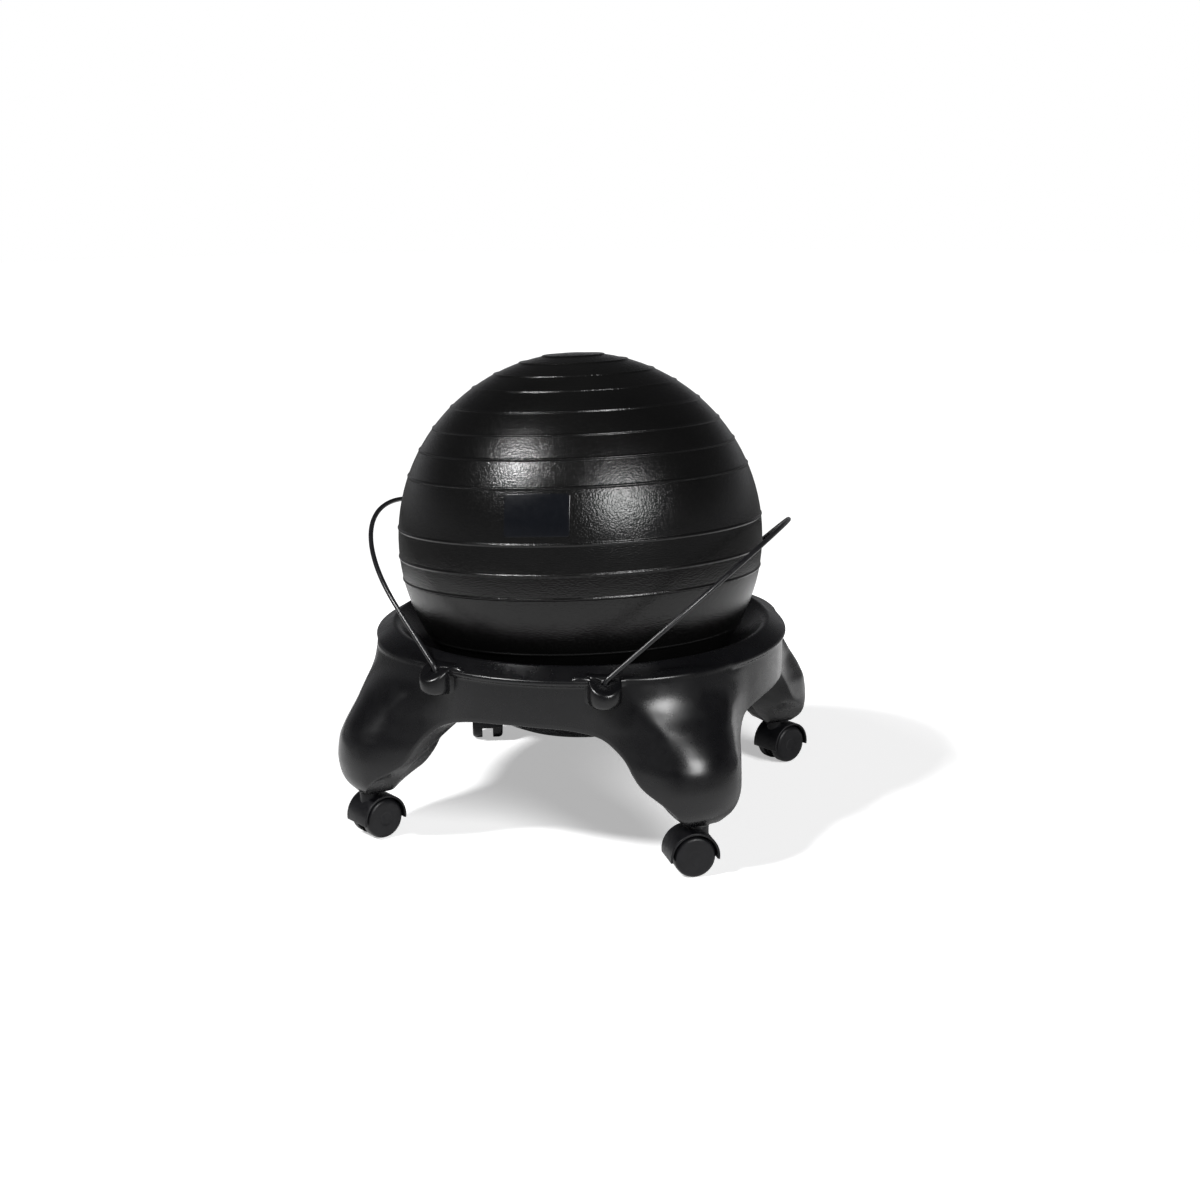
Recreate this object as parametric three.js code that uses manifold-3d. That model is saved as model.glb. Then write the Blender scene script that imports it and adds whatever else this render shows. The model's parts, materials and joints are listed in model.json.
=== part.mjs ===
// Balance ball chair: an inflated ball sits in the bowl of a moulded four-legged base,
// a bent steel bar guards each side of the ball, and each leg stands on a twin-wheel caster.
// Millimetres, +Z up, origin on the floor under the middle, bar ends at the -Y and +Y sides.
import * as THREE from 'three';
import { mergeVertices } from 'three/addons/utils/BufferGeometryUtils.js';
import Module from 'manifold-3d';

const wasm = await Module();
wasm.setup();

// Clearances
const seatGap = 0.3;
const runningGap = 0.3;
const ballSeatGap = 0.7;
const cutOverrun = 1;

// Caster wheels
const wheelRadius = 25;
const wheelWidth = 13.5;
const wheelSides = 20;
const wheelShoulder = 5;
const wheelHubRadius = 8;
const wheelHubStand = 0.5;
const wheelRimWall = 4.5;
const wheelFaceWall = 5;
const wheelBoreEnd = 3.5;

// Caster housing, axle, stem and socket
const housingWebWidth = 13.2;
const casterTrail = 10;
const hoodGap = 1.8;
const hoodWall = 2.7;
const hoodDipAngle = THREE.MathUtils.degToRad(8);
const axleRadius = 3;
const axleEndGap = 1;
const axleBossRadius = 8;
const collarRadius = 11;
const collarRise = 3.2;
const collarDrop = 24;
const stemRadius = 4;
const stemHeadRadius = 5.2;
const stemHeadHeight = 4;
const stemSeatDrop = 23;
const stemLength = 30;
const gripRingStand = 0.8;
const gripRingHeight = 3;
const stemTipLength = 3;
const socketRadius = 7.5;
const socketLength = 34;
const socketFlangeRadius = 12;
const socketFlange = 2;

// Ball
const ballRadius = 225;
const ballWall = 2;
const ballTiltAngle = THREE.MathUtils.degToRad(4.5);
const ballHeadingAngle = THREE.MathUtils.degToRad(131);
const ridgeHeight = 1.1;
const ridgeHalfWidth = 2.2;
const valveBoreRadius = 4;
const valveHeadRadius = 8;
const valveHeadHeight = 1.6;
const valvePlugLength = 16;
const valveTipRadius = 3;
const labelWidth = 78;
const labelHeight = 50;
const labelThickness = 0.4;
const labelHeadingAngle = THREE.MathUtils.degToRad(-85);
const labelLiftAngle = THREE.MathUtils.degToRad(14.2);

// Moulded base
const footReach = 36;
const footBoreGap = 0.3;
const baseHeight = 181.5;
const shellWall = 4;
const ballSeatRadius = 147.2;
const ballSeatDrop = 71.2;
const rimBandWidth = 28.2;
const rimEdgeDrop = 10;
const rimRound = 12;
const rimCrown = 2;
const apronInset = 4;
const legReach = 68.6;
const legHalfAngle = THREE.MathUtils.degToRad(25);
const bowlFloorRadius = 60;
const bowlMidGap = 5.6;
const valveClearance = 3;
const bellyRadius = 90;
const bellyDepth = 11;
const bellyTopInset = 60;
const bellyTopDrop = 67;
const footPostWall = 4;
const footFlatDepth = 38;

// Bar sockets and side bars
const barRadius = 3;
const barEndSpacing = 206;
const barEndDepth = 24;
const bossRadius = 19;
const bossHeight = 30;
const bossTopDrop = 12.7;
const bossInset = 2;
const bossRound = 5;
const earLength = 26;
const earWidth = 9;
const earRise = 3;
const earDepth = 12;
const barCrownGap = 28;
const barCrownRise = 27;
const barStraightRise = 4;
const barBendRadius = 8;
const barMouthRadius = 5;
const barMouthDepth = 4;

// Shares chosen for the shapes that follow the sizes above
// Each pair is the height above the foot, then the reach beyond the rim, on a leg's middle line
const legReachShares = [
  [0, 0.74], [0.023, 0.79], [0.05, 0.86], [0.086, 0.92], [0.143, 0.97], [0.229, 1], [0.343, 0.968],
  [0.429, 0.887], [0.514, 0.742], [0.6, 0.565], [0.686, 0.371], [0.8, 0.2], [0.88, 0.13], [1, 0.055],
];
// The same height, then the turn from the middle line to the leg's side edge
const sideEdgeTurnShares = [
  [0, 0.34], [0.37, 0.34], [0.45, 0.352], [0.55, 0.372], [0.67, 0.44], [0.75, 0.52], [0.81, 0.58],
  [0.88, 0.68], [1, 0.72],
];
// The same height, then the reach at that side edge beside the reach on the middle line
const sideEdgeReachShares = [
  [0, 0.84], [0.37, 0.82], [0.45, 0.77], [0.55, 0.76], [0.67, 0.8], [0.75, 0.65], [0.81, 0.5],
  [0.9, 0.2], [1, 0],
];
// Each pair is the turn from a leg's middle line to the next apron's, then the height of the lower edge
const lowerEdgeShares = [
  [0, 0], [0.07, 0], [0.095, 0.04], [0.124, 0.09], [0.171, 0.152], [0.226, 0.204], [0.273, 0.245],
  [0.298, 0.272], [0.322, 0.318], [0.347, 0.383], [0.373, 0.435], [0.401, 0.474], [0.431, 0.508],
  [0.461, 0.537], [0.494, 0.56], [0.6, 0.595], [0.75, 0.62], [1, 0.63],
];
// The same turn, then the radius and the height of the lower edge's inner side
const innerEdgeShares = [
  [0, 0.97], [0.1, 0.97], [0.187, 0.92], [0.264, 0.883], [0.347, 0.848], [0.45, 0.825], [1, 0.825],
];
const innerRiseShares = [
  [0, 0.1], [0.104, 0.114], [0.187, 0.183], [0.23, 0.246], [0.264, 0.309], [0.29, 0.371], [0.347, 0.434],
  [0.45, 0.54], [0.6, 0.6], [1, 0.63],
];
const wallStepShares = [0.2, 0.42, 0.62, 0.8, 0.92, 1];
const innerWallMidShare = 0.45;
const innerWallInsetShare = 0.04;
const legSpreadPower = 1.3;
const panelSweepPower = 1.35;
// Ridge rings of the ball, as shares of the quarter turn from its waist to its pole
const ridgeShares = [
  0.894, 0.811, 0.714, 0.626, 0.527, 0.431, 0.342, 0.244,
  0.06, -0.04, -0.12, -0.331, -0.429, -0.527, -0.626, -0.722,
];
const barCrownShare = 0.92;
const shoulderShare = 0.3;
// Steps round an eighth of the base
const baseSteps = 8;
const arcSteps = 6;
const barSteps = 48;
const crownSteps = 12;
// The ridges after which a wide smooth band comes
const wideBands = [7, 10];
const ballSides = 26;
const bossSides = 20;
const postSides = 16;
const boreSides = 12;
const capSteps = 3;
const capSides = 10;
const barSides = 3;

// Heights that follow from the caster
const axleHeight = wheelRadius * Math.cos(Math.PI / wheelSides);
const hoodInnerRadius = wheelRadius + hoodGap;
const hoodRadius = hoodInnerRadius + hoodWall;
const collarTop = axleHeight + hoodRadius + collarRise;
const socketBottom = collarTop + runningGap;
const footHeight = socketBottom + socketFlange + seatGap;
const casterWidth = housingWebWidth + (wheelWidth + runningGap + wheelHubStand) * 2;

// Heights and radii of the base and the ball
const rimHeight = footHeight + baseHeight;
const seatHeight = rimHeight - ballSeatDrop;
const ballRise = Math.sqrt(ballRadius ** 2 - ballSeatRadius ** 2);
const seatSlope = ballSeatRadius / ballRise;
const ballLift = (ballSeatGap + ridgeHeight) * Math.hypot(1, seatSlope);
const ballCentreHeight = seatHeight + ballRise + ballLift;
const bowlFloorHeight = ballCentreHeight - ballRadius - seatGap - valveHeadHeight - valveClearance;
const bellyHeight = bowlFloorHeight - bellyDepth;
const bowlMidRadius = (bowlFloorRadius + ballSeatRadius) / 2;
const bowlMidHeight = ballCentreHeight - Math.sqrt((ballRadius + bowlMidGap) ** 2 - bowlMidRadius ** 2);
const rimInnerRadius = ballSeatRadius + (ballSeatDrop - rimCrown) / seatSlope;
const rimRadius = rimInnerRadius + rimBandWidth;
const rimEdgeHeight = rimHeight - rimEdgeDrop;
const bandSlope = rimEdgeDrop / (rimBandWidth - rimRound);
const apronRadius = rimRadius - apronInset;
const footPlace = (rimRadius + footReach) * Math.SQRT1_2;
const quarterTurn = Math.PI / 2;
const ridgeRise = ridgeHalfWidth / ballRadius;

// Places of the bar ends, on the rim's edge
const barEndX = barEndSpacing / 2;
const bossDistance = rimRadius + bossInset;
const barEndY = Math.sqrt(bossDistance ** 2 - barEndX ** 2);
const bossTop = rimHeight - bossTopDrop;
const barCrownX = ballRadius + barCrownGap + barRadius;
const barCrownHeight = ballCentreHeight + barCrownRise;

// Finishes
function finish(color, roughness, metalness) {
  return new THREE.MeshStandardMaterial({ color, roughness, metalness });
}
const baseFinish = () => finish(0x17171a, 0.48, 0);
const ballFinish = () => finish(0x151517, 0.42, 0);
const labelFinish = () => finish(0x0c0f16, 0.25, 0);
const barFinish = () => finish(0x141415, 0.4, 0.2);
const casterFinish = () => finish(0x121215, 0.38, 0);
const socketFinish = () => finish(0x1c1c1e, 0.55, 0);
const steelFinish = () => finish(0x9a9ca0, 0.3, 1);

const chair = new THREE.Group();

function addPiece(parent, name, geometry, material) {
  const piece = new THREE.Mesh(geometry, material);
  piece.name = name;
  parent.add(piece);
  return piece;
}

// Keeps only the shared corner points of a closed shape and turns its faces outward
function closedShape(geometry) {
  const bare = geometry.clone();
  bare.deleteAttribute('normal');
  bare.deleteAttribute('uv');
  const welded = mergeVertices(bare);
  const corner = welded.getAttribute('position');
  const faces = [];
  const a = new THREE.Vector3();
  const b = new THREE.Vector3();
  const c = new THREE.Vector3();
  let volume = 0;
  for (let i = 0; i < welded.index.count; i += 3) {
    const [p, q, r] = [0, 1, 2].map((k) => welded.index.getX(i + k));
    if (p === q || q === r || r === p) continue;
    faces.push([p, q, r]);
    a.fromBufferAttribute(corner, p);
    b.fromBufferAttribute(corner, q);
    c.fromBufferAttribute(corner, r);
    volume += a.dot(b.cross(c));
  }
  const order = volume < 0 ? faces.map(([p, q, r]) => [p, r, q]) : faces;
  const shape = new THREE.BufferGeometry();
  shape.setAttribute('position', new THREE.BufferAttribute(Float32Array.from(corner.array), 3));
  shape.setIndex(order.flat());
  return shape;
}

function solid(geometry) {
  const shape = closedShape(geometry);
  return new wasm.Manifold(new wasm.Mesh({
    numProp: 3,
    vertProperties: Float32Array.from(shape.getAttribute('position').array),
    triVerts: Uint32Array.from(shape.index.array),
  }));
}

function shapeOf(body) {
  const mesh = body.getMesh();
  const shape = new THREE.BufferGeometry();
  const places = new Float32Array((mesh.vertProperties.length / mesh.numProp) * 3);
  for (let i = 0; i < places.length / 3; i += 1) {
    for (let k = 0; k < 3; k += 1) places[i * 3 + k] = mesh.vertProperties[i * mesh.numProp + k];
  }
  shape.setAttribute('position', new THREE.BufferAttribute(places, 3));
  shape.setIndex(Array.from(mesh.triVerts));
  return shape;
}

// A solid of revolution about the vertical, from pairs of radius and height
function turned(pairs, sides) {
  const points = pairs.map(([radius, height]) => new THREE.Vector2(radius, height));
  return new THREE.LatheGeometry(points, sides).rotateX(Math.PI / 2);
}

function upright(radius, bottom, top, sides) {
  const height = top - bottom;
  const column = new THREE.CylinderGeometry(radius, radius, height, sides).rotateX(Math.PI / 2);
  return column.translate(0, 0, bottom + height / 2);
}

// A plate in the vertical plane of the caster's trail, centred on that plane
function plate(shape, width, curveSteps) {
  const options = { depth: width, bevelEnabled: false, curveSegments: curveSteps };
  return new THREE.ExtrudeGeometry(shape, options).rotateX(Math.PI / 2).translate(0, width / 2, 0);
}

// Value at a place in a table of pairs, straight between the pairs
function readTable(pairs, place) {
  if (place <= pairs[0][0]) return pairs[0][1];
  for (let i = 1; i < pairs.length; i += 1) {
    const [x0, y0] = pairs[i - 1];
    const [x1, y1] = pairs[i];
    if (place <= x1) return THREE.MathUtils.lerp(y0, y1, (place - x0) / (x1 - x0));
  }
  return pairs[pairs.length - 1][1];
}

// Outer wall of the base at a height, at a turn away from the nearest leg's middle line
function wallRadius(height, turn) {
  const share = (height - footHeight) / baseHeight;
  const edgeTurn = legHalfAngle * readTable(sideEdgeTurnShares, share);
  const edgeReach = readTable(sideEdgeReachShares, share);
  let swell = 1 - (1 - edgeReach) * (turn / edgeTurn) ** 2;
  if (turn > edgeTurn) {
    const past = Math.min((turn - edgeTurn) / (legHalfAngle - edgeTurn), 1);
    swell = edgeReach * (1 - past) ** panelSweepPower;
  }
  return apronRadius + (legReach + apronInset) * readTable(legReachShares, share) * swell;
}

// Section of the base from the middle of the bowl, over the rim and down to the middle of the belly
function baseSection(turn) {
  const part = turn / (Math.PI / 4);
  const edge = footHeight + baseHeight * readTable(lowerEdgeShares, part);
  const innerEdge = rimRadius * readTable(innerEdgeShares, part);
  const wallTop = rimEdgeHeight - rimRound;
  const edgeRadius = wallRadius(edge, turn);
  const joinRadius = rimRadius - bellyTopInset;
  const joinHeight = rimHeight - bellyTopDrop;
  const section = [
    [0, bowlFloorHeight],
    [bowlFloorRadius, bowlFloorHeight],
    [bowlMidRadius, bowlMidHeight],
    [ballSeatRadius, seatHeight],
    [rimInnerRadius, rimHeight - rimCrown],
    [rimInnerRadius + rimRound / 2, rimHeight],
    [rimRadius - rimRound / 2, rimEdgeHeight],
    [rimRadius - rimRound / 6, rimEdgeHeight - rimRound / 6],
    [rimRadius, rimEdgeHeight - rimRound / 2],
  ];
  for (const share of [0, ...wallStepShares]) {
    const height = THREE.MathUtils.lerp(wallTop, edge + shellWall, share);
    section.push([wallRadius(height, turn), height]);
  }
  section.push([edgeRadius - shellWall / 2, edge]);
  const footFlatRadius = rimRadius + legReach * legReachShares[0][1] - footFlatDepth;
  section.push([Math.min(footFlatRadius, edgeRadius - rimRound), edge]);
  const innerHeight = footHeight + baseHeight * readTable(innerRiseShares, part);
  section.push([innerEdge, innerHeight]);
  const innerMid = THREE.MathUtils.lerp(innerHeight, joinHeight, innerWallMidShare);
  section.push([innerEdge - rimRadius * innerWallInsetShare, innerMid]);
  section.push([joinRadius, joinHeight]);
  section.push([bellyRadius, bellyHeight]);
  section.push([0, bellyHeight]);
  return section;
}

// Moves a section inward by the wall, for the hollow inside
function insetSection(section, wall) {
  const last = section.length - 1;
  return section.map(([radius, height], i) => {
    const [r0, z0] = section[Math.max(i - 1, 0)];
    const [r1, z1] = section[Math.min(i + 1, last)];
    const length = Math.hypot(r1 - r0, z1 - z0);
    const inward = [(z1 - z0) / length, -(r1 - r0) / length];
    if (i === 0 || i === last) return [0, height + Math.sign(inward[1]) * wall];
    return [radius + inward[0] * wall, height + inward[1] * wall];
  });
}

// Wraps a section that changes with the turn right round the base
function wrapped(sectionAt, stepsPerEighth) {
  const sides = stepsPerEighth * 8;
  const count = sectionAt(0).length;
  const blank = Array.from({ length: count }, (_, j) => new THREE.Vector2(j, j));
  const form = new THREE.LatheGeometry(blank, sides);
  const corner = form.getAttribute('position');
  for (let i = 0; i <= sides; i += 1) {
    const eighth = Math.floor((i % sides) / stepsPerEighth);
    const step = (i % sides) - eighth * stepsPerEighth;
    const part = eighth % 2 === 0 ? step / stepsPerEighth : 1 - step / stepsPerEighth;
    const turn = (Math.PI / 4) * part ** legSpreadPower;
    const leg = Math.PI / 4 + (Math.PI / 2) * Math.ceil(eighth / 2);
    const angle = eighth % 2 === 0 ? leg + turn : leg - turn;
    sectionAt(turn).forEach(([radius, height], j) => {
      corner.setXYZ(i * count + j, radius * Math.cos(angle), radius * Math.sin(angle), height);
    });
  }
  return form;
}

const corners = [
  ['front_left', -1, -1, THREE.MathUtils.degToRad(56)],
  ['front_right', 1, -1, THREE.MathUtils.degToRad(-149)],
  ['back_right', 1, 1, THREE.MathUtils.degToRad(56)],
  ['back_left', -1, 1, THREE.MathUtils.degToRad(-69)],
];

// Socket boss on the rim's edge, its top as steep as the rim's band, with the small ear beside it
function barBoss(sideX, sideY) {
  const bottom = bossTop - bossHeight;
  const top = bossTop + bossRadius * bandSlope;
  const boss = solid(turned([
    [0, bottom],
    [bossRadius - bossRound * 2, bottom],
    [bossRadius - bossRound / 2, bottom + bossRound],
    [bossRadius, bottom + bossRound * 2],
    [bossRadius, top],
    [0, top],
  ], bossSides).translate(sideX * barEndX, sideY * barEndY, 0));
  const outward = Math.atan2(sideY * barEndY, sideX * barEndX);
  const down = new THREE.Vector3(-bandSlope * Math.cos(outward), -bandSlope * Math.sin(outward), -1);
  down.normalize();
  const offset = down.dot(new THREE.Vector3(sideX * barEndX, sideY * barEndY, bossTop));
  const reach = rimRadius - earWidth / 2;
  const heading = Math.atan2(barEndY, barEndX - bossRadius - earLength / 3);
  const earHeight = rimEdgeHeight - earDepth / 2 + earRise;
  const ear = new THREE.CapsuleGeometry(earWidth / 2, earLength - earWidth, capSteps, capSides)
    .scale(1, 1, earDepth / earWidth)
    .rotateZ(heading)
    .translate(reach * Math.cos(heading), reach * Math.sin(heading), earHeight)
    .scale(sideX, sideY, 1);
  return boss.trimByPlane(down.toArray(), offset).add(solid(ear));
}

function baseShell() {
  let outside = solid(wrapped(baseSection, baseSteps));
  let hollow = solid(wrapped((turn) => insetSection(baseSection(turn), shellWall), baseSteps));
  const bores = [];
  const postRadius = socketRadius + footBoreGap + footPostWall;
  const postTop = socketBottom + socketLength;
  for (const [, sideX, sideY] of corners) {
    const place = [sideX * footPlace, sideY * footPlace, 0];
    const post = upright(postRadius, footHeight, postTop, postSides).translate(...place);
    const boreTop = postTop + cutOverrun;
    const bore = upright(socketRadius + footBoreGap, footHeight - cutOverrun, boreTop, postSides)
      .translate(...place);
    hollow = hollow.subtract(solid(post));
    bores.push(solid(bore));
    outside = outside.add(barBoss(sideX, sideY));
    const holeTop = rimHeight + cutOverrun;
    const holeBottom = bossTop - barEndDepth - seatGap;
    const barHole = upright(barRadius + seatGap, holeBottom, holeTop, boreSides)
      .translate(sideX * barEndX, sideY * barEndY, 0);
    bores.push(solid(barHole));
    const mouth = upright(barMouthRadius, bossTop - barMouthDepth, holeTop, boreSides)
      .translate(sideX * barEndX, sideY * barEndY, 0);
    bores.push(solid(mouth));
  }
  let shell = outside.subtract(hollow);
  for (const bore of bores) shell = shell.subtract(bore);
  return shapeOf(shell);
}

// Side bar: a stub in each socket, a bend, a straight leg and one wide crown, all in a leaning plane
function sideBar(side) {
  const bendStart = bossTop + barStraightRise;
  const rise = barCrownHeight - bendStart - barBendRadius;
  const outward = barCrownX - barEndX;
  const top = Math.hypot(rise, outward);
  const crown = barEndY * barCrownShare;
  const crownCentre = top - crown;
  const legAngle = Math.atan2(crownCentre, barEndY) + Math.asin(crown / Math.hypot(barEndY, crownCentre));
  const place = (along, up) => new THREE.Vector3(
    side * (barEndX + (up / top) * outward),
    along,
    bendStart + barBendRadius + (up / top) * rise,
  );
  const legPoint = (length) => place(-barEndY + length * Math.cos(legAngle), length * Math.sin(legAngle));
  const mirrored = (point) => new THREE.Vector3(point.x, -point.y, point.z);
  const stubEnd = new THREE.Vector3(side * barEndX, -barEndY, bossTop - barEndDepth);
  const stubTop = new THREE.Vector3(side * barEndX, -barEndY, bendStart);
  const legStart = legPoint(barBendRadius);
  const start = legAngle + Math.PI / 2;
  const crownPoints = [];
  for (let i = 0; i <= crownSteps; i += 1) {
    const angle = THREE.MathUtils.lerp(start, Math.PI - start, i / crownSteps);
    crownPoints.push(place(crown * Math.cos(angle), crownCentre + crown * Math.sin(angle)));
  }
  const route = new THREE.CurvePath();
  route.add(new THREE.LineCurve3(stubEnd, stubTop));
  route.add(new THREE.QuadraticBezierCurve3(stubTop, place(-barEndY, 0), legStart));
  route.add(new THREE.LineCurve3(legStart, crownPoints[0]));
  route.add(new THREE.CatmullRomCurve3(crownPoints, false, 'centripetal'));
  route.add(new THREE.LineCurve3(mirrored(crownPoints[0]), mirrored(legStart)));
  route.add(new THREE.QuadraticBezierCurve3(mirrored(legStart), place(barEndY, 0), mirrored(stubTop)));
  route.add(new THREE.LineCurve3(mirrored(stubTop), mirrored(stubEnd)));
  const section = new THREE.Shape().absarc(0, 0, barRadius, 0, Math.PI * 2, false);
  const options = { steps: barSteps, curveSegments: barSides, bevelEnabled: false, extrudePath: route };
  return new THREE.ExtrudeGeometry(section, options);
}

function ringPoint(radius, angle) {
  return [radius * Math.cos(angle), radius * Math.sin(angle)];
}

// Hollow ball with raised rings, its top pole at +Z before it is tilted, open at the valve below
function ballShell() {
  const outer = [];
  const inner = [];
  const innerRadius = ballRadius - ballWall;
  for (const share of ridgeShares) {
    const angle = quarterTurn * share;
    outer.push(ringPoint(ballRadius, angle + ridgeRise));
    outer.push(ringPoint(ballRadius + ridgeHeight, angle));
    outer.push(ringPoint(ballRadius, angle - ridgeRise));
    inner.push(ringPoint(innerRadius, angle));
  }
  // Each smooth band gets one more ring at its middle, so that its faces stay near the sphere
  for (const before of wideBands.slice().reverse()) {
    const middle = quarterTurn * ((ridgeShares[before] + ridgeShares[before + 1]) / 2);
    outer.splice((before + 1) * 3, 0, ringPoint(ballRadius, middle));
    inner.splice(before + 1, 0, ringPoint(innerRadius, middle));
  }
  const bottomAngle = quarterTurn * ((ridgeShares[ridgeShares.length - 1] - 1) / 2);
  const valveAngle = -Math.acos(valveBoreRadius / ballRadius);
  const profile = [
    [0, ballRadius],
    ...outer,
    ringPoint(ballRadius, bottomAngle),
    [valveBoreRadius, ballRadius * Math.sin(valveAngle)],
    [valveBoreRadius, innerRadius * Math.sin(valveAngle)],
    ringPoint(innerRadius, bottomAngle),
    ...inner.reverse(),
    [0, innerRadius],
  ];
  return turned(profile, ballSides);
}

function valvePlug() {
  const head = ballRadius + seatGap;
  const stem = valveBoreRadius - runningGap;
  return turned([
    [0, -head - valveHeadHeight],
    [valveHeadRadius - valveHeadHeight / 2, -head - valveHeadHeight],
    [valveHeadRadius, -head - valveHeadHeight / 2],
    [valveHeadRadius, -head],
    [stem, -head],
    [stem, -head + valvePlugLength / 2],
    [valveTipRadius, -head + valvePlugLength],
    [0, -head + valvePlugLength],
  ], postSides);
}

// Bare label: a thin panel that lies along the faces of the ball's wide smooth band
function ballLabel() {
  const inner = ballRadius + seatGap;
  const outer = inner + labelThickness;
  const top = quarterTurn * ridgeShares[7] - ridgeRise;
  const low = quarterTurn * ridgeShares[8] + ridgeRise;
  const angles = [top, (top + low) / 2, low];
  const profile = [...angles.map((angle) => ringPoint(outer, angle))];
  profile.push(...angles.reverse().map((angle) => ringPoint(inner, angle)));
  profile.push(profile[0]);
  const band = solid(turned(profile, ballSides));
  const window = new THREE.BoxGeometry(ballRadius, labelWidth, labelHeight)
    .translate(ballRadius, 0, 0)
    .rotateY(-labelLiftAngle)
    .rotateZ(labelHeadingAngle);
  return shapeOf(band.intersect(solid(window)));
}

function casterSocket() {
  const bore = stemRadius + runningGap;
  const relief = stemRadius + gripRingStand + runningGap;
  const top = socketBottom + socketLength;
  const ringLow = socketBottom + socketFlange + stemLength - stemTipLength - gripRingHeight * 3;
  return turned([
    [bore, socketBottom],
    [socketFlangeRadius, socketBottom],
    [socketFlangeRadius, socketBottom + socketFlange],
    [socketRadius, socketBottom + socketFlange],
    [socketRadius, top],
    [relief, top],
    [relief, ringLow],
    [bore, ringLow],
    [bore, socketBottom],
  ], boreSides);
}

function casterStem() {
  const seat = collarTop - stemSeatDrop;
  const top = socketBottom + socketFlange + stemLength;
  const ring = top - stemTipLength - gripRingHeight * 2;
  return turned([
    [0, seat - runningGap - stemHeadHeight],
    [stemHeadRadius, seat - runningGap - stemHeadHeight],
    [stemHeadRadius, seat - runningGap],
    [stemRadius, seat - runningGap],
    [stemRadius, ring],
    [stemRadius + gripRingStand, ring + gripRingHeight / 3],
    [stemRadius + gripRingStand, ring + gripRingHeight],
    [stemRadius, ring + gripRingHeight],
    [stemRadius, top - stemTipLength],
    [stemRadius - gripRingStand, top],
    [0, top],
  ], boreSides);
}

// Hood over both wheels, web between them and collar round the stem, with the stem at the middle
function casterHousing() {
  const from = -hoodDipAngle;
  const to = Math.PI + hoodDipAngle;
  const hoodShape = new THREE.Shape();
  hoodShape.absarc(0, 0, hoodRadius, from, to, false);
  hoodShape.absarc(0, 0, hoodInnerRadius, to, from, true);
  const webShape = new THREE.Shape().absarc(0, 0, hoodInnerRadius + hoodWall / 2, from, to, false);
  const bossShape = new THREE.Shape().absarc(0, 0, axleBossRadius, 0, Math.PI * 2, false);
  const boreShape = new THREE.Shape().absarc(0, 0, axleRadius + seatGap, 0, Math.PI * 2, false);
  const spaceShape = new THREE.Shape().absarc(0, 0, hoodInnerRadius, 0, Math.PI * 2, false);
  const toAxle = (geometry) => solid(geometry.translate(casterTrail, 0, axleHeight));
  const hood = toAxle(plate(hoodShape, casterWidth, arcSteps));
  const web = toAxle(plate(webShape, housingWebWidth, arcSteps));
  const boss = toAxle(plate(bossShape, housingWebWidth, arcSteps));
  const space = toAxle(plate(spaceShape, casterWidth + cutOverrun * 2, arcSteps));
  const axleBore = toAxle(plate(boreShape, casterWidth, arcSteps));
  const collar = solid(upright(collarRadius, collarTop - collarDrop, collarTop, bossSides));
  const seat = collarTop - stemSeatDrop;
  const boreTop = collarTop + cutOverrun;
  const stemBore = solid(upright(stemRadius + runningGap, seat - cutOverrun, boreTop, boreSides));
  const headBore = solid(upright(stemHeadRadius + runningGap, 0, seat, boreSides));
  const body = collar.subtract(space).add(hood).add(web).add(boss);
  return shapeOf(body.subtract(stemBore).subtract(headBore).subtract(axleBore));
}

function casterWheel() {
  const inner = housingWebWidth / 2 + runningGap + wheelHubStand;
  const outer = inner + wheelWidth;
  const rimInside = wheelRadius - wheelRimWall;
  return new THREE.LatheGeometry([
    [0, outer],
    [wheelRadius - wheelShoulder, outer],
    [wheelRadius - wheelShoulder * shoulderShare, outer - wheelShoulder * shoulderShare],
    [wheelRadius, outer - wheelShoulder],
    [wheelRadius, inner],
    [rimInside, inner],
    [rimInside, outer - wheelFaceWall],
    [wheelHubRadius, outer - wheelFaceWall],
    [wheelHubRadius, inner - wheelHubStand],
    [axleRadius + runningGap, inner - wheelHubStand],
    [axleRadius + runningGap, outer - wheelBoreEnd],
    [0, outer - wheelBoreEnd],
  ].map(([radius, along]) => new THREE.Vector2(radius, along)), wheelSides).rotateY(Math.PI / wheelSides);
}

function casterAxle() {
  const inner = housingWebWidth / 2 + runningGap + wheelHubStand;
  const half = inner + wheelWidth - wheelBoreEnd - axleEndGap;
  return new THREE.CylinderGeometry(axleRadius, axleRadius, half * 2, boreSides);
}

addPiece(chair, 'base_shell', baseShell(), baseFinish());
addPiece(chair, 'side_bar_left', closedShape(sideBar(-1)), barFinish());
addPiece(chair, 'side_bar_right', closedShape(sideBar(1)), barFinish());

const ballPlace = new THREE.Group();
ballPlace.position.set(0, 0, ballCentreHeight);
chair.add(ballPlace);
const tiltAxis = new THREE.Vector3(-Math.sin(ballHeadingAngle), Math.cos(ballHeadingAngle), 0);
const ballTurned = new THREE.Group();
ballTurned.setRotationFromAxisAngle(tiltAxis, ballTiltAngle);
ballPlace.add(ballTurned);
addPiece(ballTurned, 'ball', closedShape(ballShell()), ballFinish());
addPiece(ballTurned, 'ball_valve_plug', closedShape(valvePlug()), socketFinish());
addPiece(ballTurned, 'ball_label', ballLabel(), labelFinish());

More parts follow.
